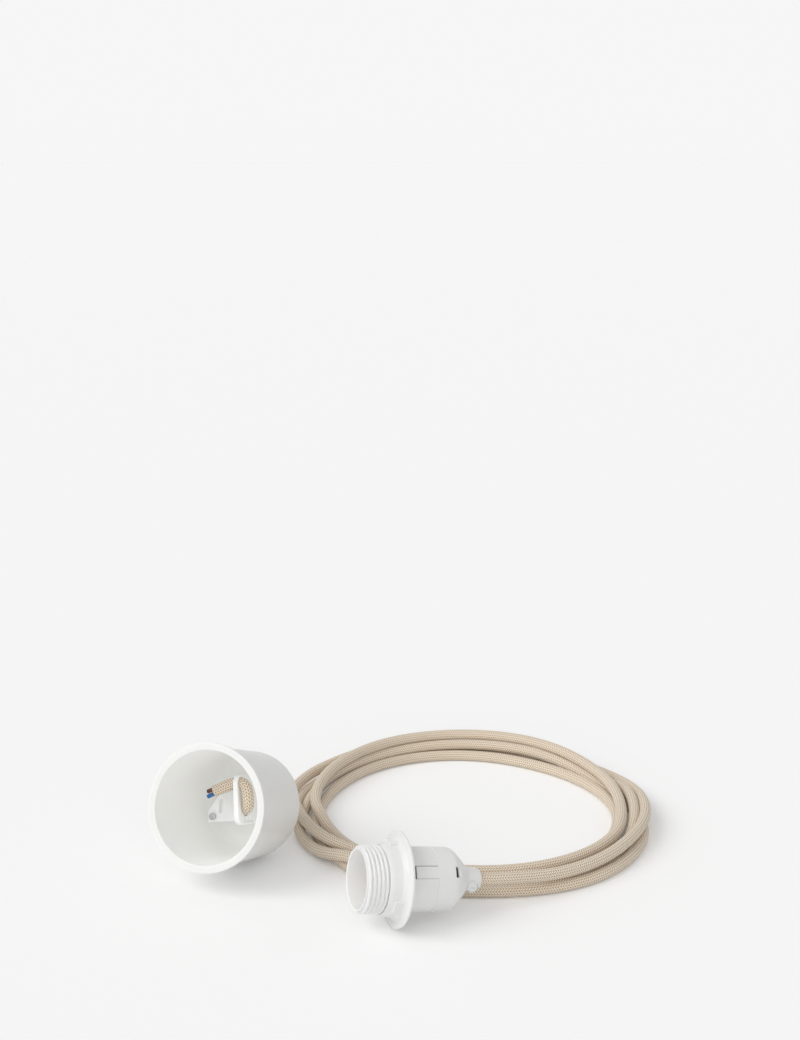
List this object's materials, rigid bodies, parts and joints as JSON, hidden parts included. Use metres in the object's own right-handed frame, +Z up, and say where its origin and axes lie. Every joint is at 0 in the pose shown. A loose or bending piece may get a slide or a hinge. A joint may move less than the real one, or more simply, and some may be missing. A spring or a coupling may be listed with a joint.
{
  "type": "pendant cord set",
  "caption": "Pendant cord set: white ceiling cup, sand textile cord in a loose coil and a screw lamp holder with shade ring, lying on a surface.",
  "frame": {"origin": "on the surface the set lies on, under the middle of the box round the cup and the lamp holder", "axes": "+Z up, +X to the right along the side where cup mouth and holder lie, +Y back towards the coil"},
  "size_m": [0.3306, 0.3138, 0.0916],
  "materials": {
    "cup_white": "satin",
    "hanger_nylon": "satin",
    "holder_white": "semi-gloss",
    "insert_white": "matt",
    "cord_braid": "braided textile",
    "core_brown": "smooth",
    "core_blue": "smooth",
    "contact_brass": "pressed",
    "screw_steel": "zinc plated"
  },
  "bodies": {
    "root": {"ceiling_cup": "cup_white", "hanger_plate": "hanger_nylon", "hanger_screw": "screw_steel", "threaded_skirt": "holder_white", "shade_ring": "holder_white", "holder_cap": "holder_white", "grip_screw": "holder_white", "lamp_insert": "insert_white", "screw_shell": "contact_brass", "centre_contact": "contact_brass", "terminal_brown": "contact_brass", "terminal_screw_brown": "screw_steel", "wire_brown_holder": "core_brown", "terminal_blue": "contact_brass", "terminal_screw_blue": "screw_steel", "wire_blue_holder": "core_blue", "cord_tail": "cord_braid", "cord_to_holder": "cord_braid", "cord_coil": "cord_braid", "wire_brown_cup": "core_brown", "wire_blue_cup": "core_blue"}
  },
  "joints": []
}
